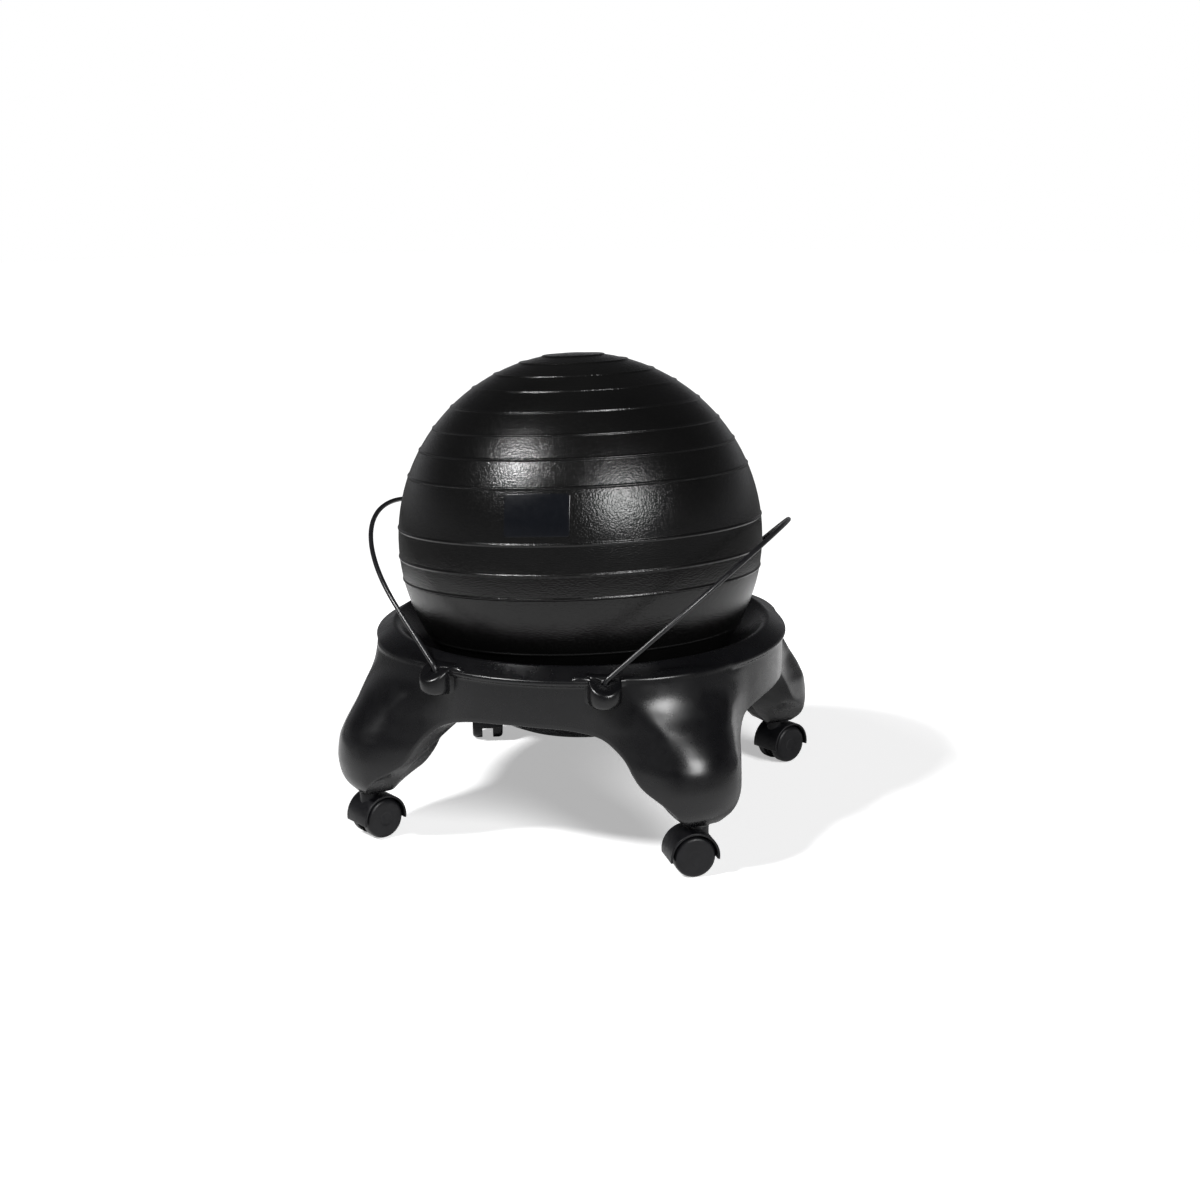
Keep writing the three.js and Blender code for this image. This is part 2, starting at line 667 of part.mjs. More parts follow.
for (const [corner, sideX, sideY, trailHeading] of corners) {
  const foot = new THREE.Group();
  foot.position.set(sideX * footPlace, sideY * footPlace, 0);
  chair.add(foot);
  addPiece(foot, `${corner}_stem_socket`, closedShape(casterSocket()), socketFinish());
  addPiece(foot, `${corner}_stem`, closedShape(casterStem()), steelFinish());
  const caster = new THREE.Group();
  caster.rotation.z = trailHeading;
  foot.add(caster);
  addPiece(caster, `${corner}_caster_housing`, casterHousing(), casterFinish());
  const axleLine = new THREE.Group();
  axleLine.position.set(casterTrail, 0, axleHeight);
  caster.add(axleLine);
  addPiece(axleLine, `${corner}_axle`, closedShape(casterAxle()), steelFinish());
  addPiece(axleLine, `${corner}_wheel_1`, closedShape(casterWheel()), casterFinish());
  const otherSide = addPiece(axleLine, `${corner}_wheel_2`, closedShape(casterWheel()), casterFinish());
  otherSide.rotation.x = Math.PI;
}

export default chair;
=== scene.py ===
# %% [markdown]
# # A balance ball chair
# An inflated ball sits in the bowl of a black moulded base. Four legs stand on twin-wheel casters,
# and a bent steel bar guards each side of the ball.
# The measured model is the frame, and every piece made here lies over one of its parts. The frame
# could also be dressed with modifiers alone, but its parts have few faces, so each one that shows is
# made again from the same sizes with many more, and the frame keeps the motion.

# %% Open the frame
import json
import math
import bpy
import bmesh
import numpy as np
from mathutils import Matrix, Vector


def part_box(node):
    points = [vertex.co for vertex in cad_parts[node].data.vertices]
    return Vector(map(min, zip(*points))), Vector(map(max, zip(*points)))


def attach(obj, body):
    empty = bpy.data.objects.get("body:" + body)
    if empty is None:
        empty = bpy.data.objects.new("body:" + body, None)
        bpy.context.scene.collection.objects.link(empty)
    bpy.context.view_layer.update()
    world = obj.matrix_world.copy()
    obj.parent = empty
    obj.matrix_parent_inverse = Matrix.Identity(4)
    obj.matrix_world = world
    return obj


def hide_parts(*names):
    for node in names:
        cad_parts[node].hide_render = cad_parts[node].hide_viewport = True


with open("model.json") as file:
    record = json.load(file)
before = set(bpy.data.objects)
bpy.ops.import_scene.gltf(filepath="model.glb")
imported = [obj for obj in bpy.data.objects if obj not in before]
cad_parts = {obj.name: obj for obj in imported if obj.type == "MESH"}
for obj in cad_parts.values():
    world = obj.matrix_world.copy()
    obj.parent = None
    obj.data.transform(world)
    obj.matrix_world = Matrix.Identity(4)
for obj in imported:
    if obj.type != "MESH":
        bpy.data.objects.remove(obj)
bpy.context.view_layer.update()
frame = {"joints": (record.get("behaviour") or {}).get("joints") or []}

# %% [markdown]
# ## The camera
# The chair was photographed from a little above and from its right, with a long lens. The lens could
# be guessed by eye. It was found from the feet, the rim and the ball instead, because a long lens and
# a far camera keep the front legs from looking too large.

# %% Camera
picture = 1200
turn_of_view = math.radians(17.2)
rise_of_view = math.radians(14.3)
roll_of_view = math.radians(-0.42)
view_distance = 2.503
lens_pixels = 2000
back = Vector((
    math.sin(turn_of_view) * math.cos(rise_of_view),
    -math.cos(turn_of_view) * math.cos(rise_of_view),
    math.sin(rise_of_view),
))
sideways = Vector((math.cos(turn_of_view), math.sin(turn_of_view), 0))
aim = Vector((0, 0, 0.259)) + sideways * 0.0236
camera_data = bpy.data.cameras.new("camera")
camera_data.sensor_width = 36
camera_data.lens = camera_data.sensor_width * lens_pixels / picture
camera_data.clip_end = 60
camera = bpy.data.objects.new("camera", camera_data)
bpy.context.collection.objects.link(camera)
looking = (-back).to_track_quat("-Z", "Y").to_matrix().to_4x4()
roll = Matrix.Rotation(roll_of_view, 4, "Z")
camera.matrix_world = Matrix.Translation(aim + back * view_distance) @ looking @ roll
bpy.context.scene.camera = camera
camera_place = [round(v, 2) for v in camera.matrix_world.translation]
print("camera lens", round(camera_data.lens, 1), "mm at", camera_place)

# %% [markdown]
# ## Light
# The studio lights the chair with two soft lamps from the front: a small bright one high at the left
# and a wide one at the right, and the walls are pale. Area lamps could do this, but they fade over
# the floor. Two suns with a wide disc give the same soft highlights and an even floor, and a world
# that is grey at the horizon and dark overhead stands for the walls. The camera sees it as white.

# %% Lamps and world
def soft_sun(name, direction, strength, width):
    lamp = bpy.data.lights.new(name, "SUN")
    lamp.energy = strength
    lamp.angle = math.radians(width)
    holder = bpy.data.objects.new(name, lamp)
    bpy.context.collection.objects.link(holder)
    holder.rotation_mode = "QUATERNION"
    holder.rotation_quaternion = Vector(direction).to_track_quat("Z", "Y")


upward = back.cross(sideways)


def from_camera(right, up, toward):
    return sideways * right + upward * up + back * toward


soft_sun("left_lamp", from_camera(-0.567, 0.637, 0.522), 3.1, 8)
soft_sun("right_lamp", from_camera(0.43, 0.34, 0.836), 2.9, 22)

world = bpy.data.worlds.new("studio")
bpy.context.scene.world = world
world.use_nodes = True
sky = world.node_tree
walls = sky.nodes["Background"]
place = sky.nodes.new("ShaderNodeTexCoord")
parts = sky.nodes.new("ShaderNodeSeparateXYZ")
ramp = sky.nodes.new("ShaderNodeValToRGB")
ramp.color_ramp.elements[0].position = 0.02
ramp.color_ramp.elements[0].color = (0.34, 0.34, 0.35, 1)
ramp.color_ramp.elements[1].position = 0.7
ramp.color_ramp.elements[1].color = (0.02, 0.02, 0.022, 1)
shade = ramp.color_ramp.elements.new(0.26)
shade.color = (0.06, 0.06, 0.063, 1)
sky.links.new(place.outputs["Generated"], parts.inputs[0])
sky.links.new(parts.outputs["Z"], ramp.inputs[0])
seen = sky.nodes.new("ShaderNodeLightPath")
bare = sky.nodes.new("ShaderNodeMix")
bare.data_type = "RGBA"
bare.inputs["B"].default_value = (1, 1, 1, 1)
sky.links.new(seen.outputs["Is Camera Ray"], bare.inputs["Factor"])
sky.links.new(ramp.outputs[0], bare.inputs["A"])
sky.links.new(bare.outputs["Result"], walls.inputs["Color"])
walls.inputs["Strength"].default_value = 1
print("two lamps and a pale room")

# %% [markdown]
# ## Finishes
# The base, the casters, the ball and the bars are all black, so what tells them apart is how each
# one takes the light. The base is satin with a very fine grain, the ball has a leathery pebble
# grain, the casters are duller, and the bars are painted steel. A picture could carry such a
# grain, but noise in the nodes has no seams and keeps its real size on every piece.

# %% Start of a finish
def new_finish(name, colour, roughness):
    material = bpy.data.materials.new(name)
    material.use_nodes = True
    surface = material.node_tree.nodes["Principled BSDF"]
    surface.inputs["Base Color"].default_value = (*colour, 1)
    surface.inputs["Roughness"].default_value = roughness
    return material, surface


def object_places(material):
    return material.node_tree.nodes.new("ShaderNodeTexCoord").outputs["Object"]


def noise(material, scale, detail=2.0):
    node = material.node_tree.nodes.new("ShaderNodeTexNoise")
    node.inputs["Scale"].default_value = scale
    node.inputs["Detail"].default_value = detail
    material.node_tree.links.new(object_places(material), node.inputs["Vector"])
    return node.outputs["Fac"]


def between(material, source, low, high, from_low=0.3, from_high=0.7):
    node = material.node_tree.nodes.new("ShaderNodeMapRange")
    node.inputs["From Min"].default_value = from_low
    node.inputs["From Max"].default_value = from_high
    node.inputs["To Min"].default_value = low
    node.inputs["To Max"].default_value = high
    material.node_tree.links.new(source, node.inputs["Value"])
    return node.outputs["Result"]


def two_tones(material, surface, source, dark, light):
    node = material.node_tree.nodes.new("ShaderNodeMix")
    node.data_type = "RGBA"
    node.inputs["A"].default_value = (*dark, 1)
    node.inputs["B"].default_value = (*light, 1)
    material.node_tree.links.new(source, node.inputs["Factor"])
    material.node_tree.links.new(node.outputs["Result"], surface.inputs["Base Color"])


def grain(material, surface, heights):
    below = None
    for source, depth in heights:
        node = material.node_tree.nodes.new("ShaderNodeBump")
        node.inputs["Distance"].default_value = depth
        node.inputs["Strength"].default_value = 1
        material.node_tree.links.new(source, node.inputs["Height"])
        if below:
            material.node_tree.links.new(below, node.inputs["Normal"])
        below = node.outputs["Normal"]
    material.node_tree.links.new(below, surface.inputs["Normal"])


print("ready to mix finishes")

# %% [markdown]
# ## Moulded black plastic
# The base is a hollow moulding, so its skin is satin and a little cloudy, with a very fine grain.
# One even black would do, but it looks like paint. Slow noise in the colour and faster noise in the
# roughness give the cloudy skin, and a shallow bump gives the grain.

# %% Base plastic
def base_plastic():
    material, surface = new_finish("base plastic", (0.002, 0.002, 0.0024), 0.32)
    cloud = between(material, noise(material, 14, 4), 0, 1)
    two_tones(material, surface, cloud, (0.0014, 0.0014, 0.0018), (0.0030, 0.0030, 0.0035))
    rough = between(material, noise(material, 60, 3), 0.25, 0.31)
    material.node_tree.links.new(rough, surface.inputs["Roughness"])
    surface.inputs["Specular IOR Level"].default_value = 0.42
    grain(material, surface, [(noise(material, 1500, 1), 0.00003)])
    return material


black_plastic = base_plastic()
print("made", black_plastic.name)

# %% [markdown]
# ## Ball vinyl
# The ball is thick vinyl with a pebbled skin of cells between one and two millimetres across. A
# cell pattern with a little noise in it gives that better than noise alone.

# %% Ball vinyl
def ball_vinyl():
    material, surface = new_finish("ball vinyl", (0.0022, 0.0022, 0.0022), 0.24)
    surface.inputs["Specular IOR Level"].default_value = 0.36
    cells = material.node_tree.nodes.new("ShaderNodeTexVoronoi")
    cells.feature = "SMOOTH_F1"
    cells.inputs["Scale"].default_value = 600
    material.node_tree.links.new(object_places(material), cells.inputs["Vector"])
    cloud = between(material, noise(material, 9, 3), 0, 1)
    two_tones(material, surface, cloud, (0.0026, 0.0026, 0.0026), (0.0042, 0.0042, 0.0041))
    rough = between(material, noise(material, 260, 2), 0.2, 0.26)
    material.node_tree.links.new(rough, surface.inputs["Roughness"])
    pebbles = (cells.outputs["Distance"], 0.0003)
    pores = (noise(material, 1000, 1), 0.00005)
    grain(material, surface, [pebbles, pores])
    return material


vinyl = ball_vinyl()
print("made", vinyl.name)

# %% [markdown]
# ## Label, bars, casters, nylon and steel
# The label is a smooth glossy panel and is left bare. The bars have a coat of paint with a slight
# ripple. The casters are dull nylon with an uneven gloss, and the stems are plated steel. One finish
# could serve all the black ones, but each takes the light in its own way.

# %% Small finishes
def label_gloss():
    material, surface = new_finish("label gloss", (0.004, 0.006, 0.010), 0.2)
    cloud = between(material, noise(material, 30, 2), 0, 1)
    two_tones(material, surface, cloud, (0.0018, 0.0024, 0.0040), (0.0021, 0.0028, 0.0045))
    rough = between(material, noise(material, 120, 3), 0.2, 0.24)
    material.node_tree.links.new(rough, surface.inputs["Roughness"])
    grain(material, surface, [(noise(material, 300, 2), 0.00001)])
    return material


def bar_paint():
    material, surface = new_finish("bar paint", (0.010, 0.010, 0.011), 0.3)
    rough = between(material, noise(material, 90, 3), 0.24, 0.38)
    material.node_tree.links.new(rough, surface.inputs["Roughness"])
    cloud = between(material, noise(material, 40, 3), 0, 1)
    two_tones(material, surface, cloud, (0.006, 0.006, 0.007), (0.010, 0.010, 0.011))
    grain(material, surface, [(noise(material, 500, 2), 0.00005)])
    return material


def caster_nylon():
    material, surface = new_finish("caster nylon", (0.004, 0.004, 0.005), 0.36)
    cloud = between(material, noise(material, 70, 4), 0, 1)
    two_tones(material, surface, cloud, (0.0026, 0.0026, 0.0033), (0.0050, 0.0050, 0.0060))
    rough = between(material, noise(material, 220, 4), 0.3, 0.48)
    surface.inputs["Specular IOR Level"].default_value = 0.24
    material.node_tree.links.new(rough, surface.inputs["Roughness"])
    grain(material, surface, [(noise(material, 1200, 2), 0.00003)])
    return material


def socket_nylon():
    material, surface = new_finish("socket nylon", (0.016, 0.016, 0.017), 0.5)
    rough = between(material, noise(material, 200, 3), 0.45, 0.6)
    material.node_tree.links.new(rough, surface.inputs["Roughness"])
    grain(material, surface, [(noise(material, 900, 2), 0.00005)])
    return material


def plated_steel():
    material, surface = new_finish("plated steel", (0.55, 0.56, 0.58), 0.28)
    surface.inputs["Metallic"].default_value = 1
    rough = between(material, noise(material, 300, 3), 0.2, 0.36)
    material.node_tree.links.new(rough, surface.inputs["Roughness"])
    grain(material, surface, [(noise(material, 1500, 2), 0.00002)])
    return material


gloss = label_gloss()
paint = bar_paint()
nylon = caster_nylon()
plain_nylon = socket_nylon()
steel = plated_steel()
print("made", [m.name for m in (gloss, paint, nylon, plain_nylon, steel)])

# %% [markdown]
# ## Turning rings into a skin
# Most pieces here are rings of points laid one after another: the ball, the wheels, the base. One
# helper joins the rings with faces, so each piece only has to say where its points are. Sizes are
# written in millimetres and are turned into metres in one place.

# %% Skin helpers
mm = 0.001


def add_piece(name, points, faces, finish, body, slot, stands_for=()):
    mesh = bpy.data.meshes.new(name)
    mesh.from_pydata([tuple(p) for p in np.asarray(points) * mm], [], faces)
    mesh.validate()
    shape = bmesh.new()
    shape.from_mesh(mesh)
    bmesh.ops.recalc_face_normals(shape, faces=shape.faces)
    shape.to_mesh(mesh)
    shape.free()
    mesh.shade_smooth()
    mesh.materials.append(finish)
    piece = bpy.data.objects.new(name, mesh)
    bpy.context.collection.objects.link(piece)
    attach(piece, body)
    if stands_for:
        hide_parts(*stands_for)
    return piece


def skin_of(rings):
    count = len(rings[0])
    faces = []
    for i in range(len(rings) - 1):
        for j in range(count):
            k = (j + 1) % count
            faces.append((i * count + j, i * count + k, (i + 1) * count + k, (i + 1) * count + j))
    return [p for ring in rings for p in ring], faces


def capped(rings):
    points, faces = skin_of(rings)
    count = len(rings[0])
    for start, ring in ((0, rings[0]), (len(points) - count, rings[-1])):
        points.append(np.mean(ring, axis=0))
        for j in range(count):
            faces.append((start + j, start + (j + 1) % count, len(points) - 1))
    return points, faces


def turned_rings(profile, sides):
    angles = np.arange(sides) * 2 * math.pi / sides
    return [[(r * math.cos(a), r * math.sin(a), z) for a in angles] for r, z in profile]


print("helpers for skins are ready")

# %% [markdown]
# ## Rounding a profile
# Real mouldings have no sharp corners. A bevel modifier could round each piece after it is made, but
# a profile that is rounded before it is turned keeps its faces even and its sizes exact.

# %% Rounded profiles
def rounded(corners, cuts, steps=4):
    corners = [np.array(c, float) for c in corners]
    out = [tuple(corners[0])]
    for before, corner, after, cut in zip(corners, corners[1:], corners[2:], cuts):
        room = min(np.linalg.norm(before - corner), np.linalg.norm(after - corner)) * 0.48
        first = corner + (before - corner) / np.linalg.norm(before - corner) * min(cut, room)
        last = corner + (after - corner) / np.linalg.norm(after - corner) * min(cut, room)
        for i in range(steps + 1):
            t = i / steps
            out.append(tuple((1 - t) ** 2 * first + 2 * t * (1 - t) * corner + t * t * last))
    out.append(tuple(corners[-1]))
    return out


print("profiles can be rounded")

# %% [markdown]
# ## Sizes of the chair
# The frame gives the foot's height and the ball's centre, which everything else hangs on. The other
# sizes could be measured on the frame's parts, but the sizes that the frame was drawn from say more
# plainly what each one is, so they are repeated here.

# %% Sizes
base_low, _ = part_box("base_shell")
foot_height = base_low.z / mm
ball_centre = frame["joints"][0]["pos_m"][2] / mm
seat_gap = 0.3
base_height = 181.5
rim_height = foot_height + base_height
ball_radius = 225
seat_radius = 147.2
seat_drop = 71.2
rim_crown = 2
seat_height = rim_height - seat_drop
ball_rise = math.sqrt(ball_radius ** 2 - seat_radius ** 2)
rim_inner = seat_radius + (seat_drop - rim_crown) / (seat_radius / ball_rise)
rim_band = 28.2
rim_radius = rim_inner + rim_band
edge_drop = 10
rim_edge = rim_height - edge_drop
band_slope = edge_drop / (rim_band - 12)
apron_inset = 4
apron_radius = rim_radius - apron_inset
leg_reach = 68.6
leg_half_angle = math.radians(25)
bar_end_x = 103
boss_distance = rim_radius + 2
bar_end_y = math.sqrt(boss_distance ** 2 - bar_end_x ** 2)
boss_top = rim_height - 12.7
boss_radius = 19
boss_height = 30
plug_head = 1.6
plug_clearance = 3
bowl_floor = ball_centre - ball_radius - seat_gap - plug_head - plug_clearance
bowl_floor_radius = 60
bowl_mid_gap = 5.6
belly_height = bowl_floor - 11
belly_radius = 90
under_rim_drop = 67
foot_flat_depth = 38
print("rim at", round(rim_height, 1), "mm, ball centre at", round(ball_centre, 1), "mm")

# %% [markdown]
# ## The moulded base
# The base is one hollow moulding: a bowl for the ball, a rim whose band slopes outward, a wall that
# swells into four rounded legs, and a belly under the bowl. Its section changes all the way round,
# from a leg's middle line to the arch between two legs. It could be sculpted, or built from a few
# curves and subdivided. Here the section is worked out at each angle from short tables. The frame
# was drawn from nearly the same tables, so the skin and the frame agree.

# %% Tables of the base
leg_reach_shares = [
    (0, 0.74), (0.023, 0.79), (0.05, 0.86), (0.086, 0.92), (0.143, 0.97), (0.229, 1), (0.343, 0.968),
    (0.429, 0.89), (0.514, 0.75), (0.6, 0.575), (0.686, 0.395), (0.8, 0.235), (0.88, 0.175), (1, 0.12),
]
side_edge_turn_shares = [
    (0, 0.34), (0.37, 0.34), (0.45, 0.352), (0.55, 0.372), (0.67, 0.44), (0.75, 0.52), (0.81, 0.58),
    (0.88, 0.68), (1, 0.72),
]
side_edge_reach_shares = [
    (0, 0.84), (0.37, 0.82), (0.45, 0.77), (0.55, 0.76), (0.67, 0.8), (0.75, 0.65), (0.81, 0.5),
    (0.9, 0.2), (1, 0),
]
lower_edge_shares = [
    (0, 0), (0.085, 0), (0.115, 0.03), (0.145, 0.07), (0.185, 0.13), (0.235, 0.184), (0.28, 0.228),
    (0.303, 0.256), (0.327, 0.303), (0.352, 0.367), (0.378, 0.42), (0.406, 0.458), (0.436, 0.492),
    (0.466, 0.52), (0.5, 0.543), (0.6, 0.578), (0.75, 0.604), (1, 0.615),
]
inner_edge_shares = [
    (0, 0.97), (0.1, 0.97), (0.187, 0.92), (0.264, 0.883), (0.347, 0.848), (0.45, 0.825), (1, 0.825),
]
inner_rise_shares = [
    (0, 0.1), (0.104, 0.114), (0.187, 0.183), (0.23, 0.246), (0.264, 0.309), (0.29, 0.371), (0.347, 0.434),
    (0.45, 0.52), (0.6, 0.58), (1, 0.615),
]


def smooth_reader(pairs):
    x, y = np.array(pairs, float).T
    step = np.diff(x)
    slope = np.diff(y) / step
    bend = np.zeros(len(x))
    for i in range(1, len(x) - 1):
        if slope[i - 1] * slope[i] > 0:
            a, b = 2 * step[i] + step[i - 1], step[i] + 2 * step[i - 1]
            bend[i] = (a + b) / (a / slope[i - 1] + b / slope[i])
    bend[-1] = slope[-1]

    def read(place):
        place = min(max(place, x[0]), x[-1])
        i = min(int(np.searchsorted(x, place, "right")) - 1, len(x) - 2)
        t = (place - x[i]) / step[i]
        return ((1 + 2 * t) * (1 - t) ** 2 * y[i] + t * (1 - t) ** 2 * step[i] * bend[i]
                + t * t * (3 - 2 * t) * y[i + 1] + t * t * (t - 1) * step[i] * bend[i + 1])
    return read


leg_reach_at = smooth_reader(leg_reach_shares)
edge_turn_at = smooth_reader(side_edge_turn_shares)
edge_reach_at = smooth_reader(side_edge_reach_shares)
lower_edge_at = smooth_reader(lower_edge_shares)
inner_edge_at = smooth_reader(inner_edge_shares)
inner_rise_at = smooth_reader(inner_rise_shares)
print("lower edge over an arch at", round(foot_height + base_height * lower_edge_at(1), 1), "mm")

# %% [markdown]
# Cut at one angle, the base is an outline that runs along the bowl, over the rim, down the wall and
# back under the belly. Each could be drawn by hand, but there are 400 of them. A short function
# finds how far the leg swells at a height and an angle, and the outline follows from that.

# %% Section of the base
def leg_swell(share, turn):
    edge = leg_half_angle * edge_turn_at(share)
    reach = edge_reach_at(share)
    if turn < edge:
        return 1 - (1 - reach) * (turn / edge) ** 2
    past = min((turn - edge) / (leg_half_angle - edge), 1)
    return reach * (1 - past) ** 1.7


def wall_radius(height, turn):
    share = (height - foot_height) / base_height
    shifts = (-1.5, -0.9, -0.3, 0.3, 0.9, 1.5)
    nearby = [leg_swell(share, abs(turn + math.radians(shift))) for shift in shifts]
    return apron_radius + (leg_reach + apron_inset) * leg_reach_at(share) * sum(nearby) / len(nearby)


def stretch(start, end, count):
    start, end = np.array(start), np.array(end)
    return [tuple(start + (end - start) * i / count) for i in range(1, count)]


def base_section(turn):
    part = turn / (math.pi / 4)
    edge = foot_height + base_height * lower_edge_at(part)
    inner_height = foot_height + base_height * inner_rise_at(part)
    inner_edge = rim_radius * inner_edge_at(part)
    mid_radius = (bowl_floor_radius + seat_radius) / 2
    soft = leg_swell(0.95, turn)
    corner_radius = max(rim_radius, wall_radius(rim_edge - 6, turn))
    corner_height = rim_height - band_slope * (1 - 0.4 * soft) * (corner_radius - rim_inner - 6)
    bowl_mid = math.sqrt((ball_radius + bowl_mid_gap) ** 2 - mid_radius ** 2)
    bowl = rounded(
        [(0.5, bowl_floor), (bowl_floor_radius, bowl_floor), (mid_radius, ball_centre - bowl_mid),
         (seat_radius, seat_height), (rim_inner, rim_height - rim_crown), (rim_inner + 6, rim_height),
         (corner_radius, corner_height),
         (max(rim_radius, wall_radius(rim_edge - 8, turn)), rim_edge - 8),
         (wall_radius(rim_edge - 11, turn), rim_edge - 11),
         (wall_radius(rim_edge - 14, turn), rim_edge - 14)],
        [20, 30, 40, 3, 8, 3.4 + 6 * soft, 2, 3], 5)
    top, low = rim_edge - 14, edge + 5
    wall = []
    for i in range(1, 49):
        height = top + (low - top) * i / 48
        wall.append((wall_radius(height, turn), height))
    edge_radius = wall_radius(edge, turn)
    flat = min(rim_radius + leg_reach * leg_reach_shares[0][1] - foot_flat_depth, edge_radius - 12)
    inner_top = rim_height - under_rim_drop
    inner_mid = (inner_edge - 0.04 * rim_radius, inner_height + (inner_top - inner_height) * 0.45)
    under = rounded(
        [(wall_radius(edge + 5, turn), edge + 5), (edge_radius - 0.6, edge), (flat, edge),
         (inner_edge, inner_height), inner_mid, (rim_radius - 60, inner_top),
         (belly_radius, belly_height), (0.5, belly_height)],
        [2.2, 4, 4, 12, 12, 40], 5)
    return bowl[:1] + stretch(bowl[0], bowl[1], 4) + bowl[1:] + wall + under[1:]


print("points in a section:", len(base_section(0)), len(base_section(0.5)))

# %% [markdown]
# The sections could stand equally close all round. Here they are closer together near the legs,
# where the wall turns fast, so that fewer faces are spent on the plain wall between them.

# %% Skin of the base
def base_angles():
    angles = list(np.arange(0, 360, 1.5))
    for leg in (45, 135, 225, 315):
        angles += list(np.arange(leg - 30, leg + 30, 0.75))
    return [math.radians(a) for a in sorted(set(np.round(angles, 3)))]


def base_rings(angles):
    columns = []
    for angle in angles:
        leg = math.pi / 4 + math.pi / 2 * round((angle - math.pi / 4) / (math.pi / 2))
        section = base_section(abs(angle - leg))
        columns.append([(r * math.cos(angle), r * math.sin(angle), z) for r, z in section])
    return [list(ring) for ring in zip(*columns)]


points, faces = capped(base_rings(base_angles()))
base_skin = add_piece("moulded_base", points, faces, black_plastic, "base", "base_plastic", ["base_shell"])
print("base skin has", len(base_skin.data.polygons), "faces")

# %% [markdown]
# ## Bar sockets
# Each end of a bar drops into a half-round socket on the rim's edge, with a shallow mouth round the
# bar and a small ear on the rim beside it. A boolean union would leave a hard crease at the wall.
# Here the socket is a stack of outlines that flare into the wall. Its top leans out as the rim's
# band does, and the last outlines turn down into the mouth.

# %% Sockets and ears
mouth_radius = 5
mouth_depth = 4
flare = 4
flare_sink = 2.8
socket_back = 16
ear_length = 26
ear_half_width = 4.5
ear_half_height = 5.6


def socket_outline(inset):
    outline = []
    radius = boss_radius - inset
    for i in range(33):
        turn = math.pi * i / 32
        outline.append((radius * math.cos(turn), radius * math.sin(turn)))
    for i in range(1, 7):
        turn = math.pi / 2 * i / 6
        outline.append((-radius - flare * (1 - math.cos(turn)), -flare * math.sin(turn) - flare_sink))
    outline += [(-radius - flare, -socket_back), (radius + flare, -socket_back)]
    for i in range(6, 0, -1):
        turn = math.pi / 2 * i / 6
        outline.append((radius + flare * (1 - math.cos(turn)), -flare * math.sin(turn) - flare_sink))
    return outline


def mouth_outline(radius):
    outline = socket_outline(0)
    return [(radius * x / math.hypot(x, y), radius * y / math.hypot(x, y)) for x, y in outline]


def bar_socket(side_x, side_y):
    bottom = boss_top - boss_height
    levels = [(7, 0), (4.4, 0.8), (2.2, 2.6), (0.8, 5), (0.2, 7.6), (0, 10), (0, boss_height - 3),
              (0.3, boss_height - 1.6), (1.0, boss_height - 0.5), (2.4, boss_height)]
    rings = []
    for inset, rise in levels:
        lean = band_slope if rise > boss_height / 2 else 0
        ring = []
        for x, y in socket_outline(inset):
            sink = lean and 3 * min(max(-y / 12, 0), 1)
            ring.append((x, y, bottom + rise - lean * y - sink))
        rings.append(ring)
    for radius, drop in ((mouth_radius + 0.8, 0), (mouth_radius, 0.6)):
        rings.append([(x, y, boss_top - drop - band_slope * y) for x, y in mouth_outline(radius)])
    for radius in (mouth_radius, 3.2):
        rings.append([(x, y, boss_top - mouth_depth) for x, y in mouth_outline(radius)])
    heading = math.atan2(side_y * bar_end_y, side_x * bar_end_x) - math.pi / 2
    c, s = math.cos(heading), math.sin(heading)
    centre = (side_x * bar_end_x, side_y * bar_end_y)
    placed = []
    for ring in rings:
        placed.append([(centre[0] + c * x - s * y, centre[1] + s * x + c * y, z) for x, y, z in ring])
    return capped(placed)


def socket_ear(side_x, side_y):
    along = bar_end_x - boss_radius - ear_length / 3
    heading = math.atan2(bar_end_y, along)
    reach = rim_radius - ear_half_width
    rings = []
    for i in range(1, 24):
        turn = math.pi * i / 24
        x = ear_length / 2 * -math.cos(turn)
        wide = ear_half_width * math.sin(turn) ** 0.6
        tall = ear_half_height * math.sin(turn) ** 1.2
        ring = []
        for j in range(20):
            t = 2 * math.pi * j / 20
            ring.append((reach + wide * math.cos(t), x, rim_edge - 3 + tall * math.sin(t)))
        rings.append(ring)
    c, s = math.cos(heading), math.sin(heading)
    placed = []
    for ring in rings:
        placed.append([(side_x * (c * r - s * a), side_y * (s * r + c * a), z) for r, a, z in ring])
    return capped(placed)


socket_sides = [(-1, -1, "front_left"), (1, -1, "front_right"), (1, 1, "back_right"), (-1, 1, "back_left")]
for side_x, side_y, corner in socket_sides:
    add_piece(corner + "_bar_socket", *bar_socket(side_x, side_y), black_plastic, "base", "base_plastic")
    add_piece(corner + "_socket_ear", *socket_ear(side_x, side_y), black_plastic, "base", "base_plastic")
print("four sockets with their ears")

# %% [markdown]
# ## Side bars
# Each bar is one steel rod, bent up out of the front socket, over the side of the ball in one wide
# crown and down into the back socket. A mesh could be swept along the route. A curve with a round
# bevel gives the same rod with less to write.

# %% Side bars
bar_radius = 2.95
frame_bar_radius = 3
crown_gap = 28
crown_x = ball_radius + crown_gap + frame_bar_radius
crown_height = ball_centre + 27
stub_depth = 24
crown_share = 0.92


def quarter_bend(a, corner, b, count):
    a, corner, b = Vector(a), Vector(corner), Vector(b)
    return [a * (1 - t) ** 2 + corner * 2 * t * (1 - t) + b * t * t for t in np.linspace(0, 1, count)]


